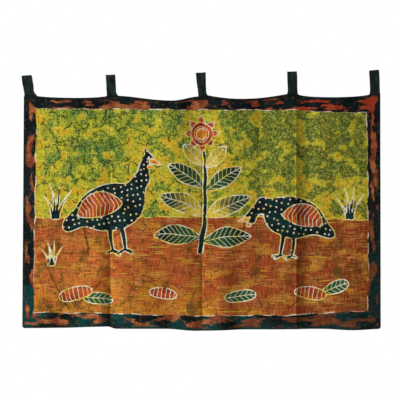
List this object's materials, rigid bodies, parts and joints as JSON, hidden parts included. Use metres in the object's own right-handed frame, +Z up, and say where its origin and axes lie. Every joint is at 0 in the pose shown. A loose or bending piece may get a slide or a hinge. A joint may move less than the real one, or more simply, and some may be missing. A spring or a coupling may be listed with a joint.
{
  "type": "batik wall hanging",
  "caption": "Wide hand-dyed cotton panel with hemmed edges that hangs from a rod by open cloth tab loops along its top, waved between them and softly creased.",
  "frame": {"origin": "on the rod line, where a rod bears under the crown of the middle tab loop", "axes": "+X along the rod, to the right as seen from the dyed front; +Y backwards, away from the viewer; +Z up"},
  "size_m": [1.1241, 0.024, 0.8175],
  "materials": {
    "batik_cloth": "matt plain-weave cotton, dyed and crackled",
    "tab_cloth": "matt plain-weave cotton, near black"
  },
  "bodies": {
    "root": {"batik_panel": "batik_cloth", "tab_loop_1": "tab_cloth", "tab_loop_2": "tab_cloth", "tab_loop_3": "tab_cloth", "tab_loop_4": "tab_cloth", "tab_loop_5": "tab_cloth"}
  },
  "joints": []
}
